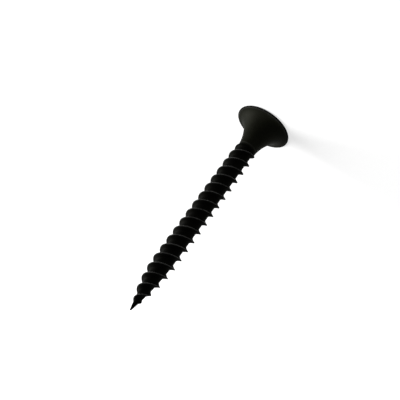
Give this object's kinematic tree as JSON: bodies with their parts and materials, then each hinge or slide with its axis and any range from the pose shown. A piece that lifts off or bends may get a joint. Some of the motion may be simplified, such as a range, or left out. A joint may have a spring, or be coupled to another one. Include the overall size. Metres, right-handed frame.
{
  "type": "drywall screw",
  "caption": "Black bugle-head drywall screw with a cross recess, a coarse thread and a sharp point.",
  "frame": {"origin": "centre of the head's flat face, which the screw stands on", "axes": "+Z runs along the screw's axis from the head to the point; the wings of the recess lie along X and Y"},
  "size_m": [0.0085, 0.0084, 0.035],
  "materials": {
    "black_phosphate": "dull black phosphate coating on steel, satin where the tools polished it"
  },
  "bodies": {
    "root": {"drywall_screw": "black_phosphate"}
  },
  "joints": []
}
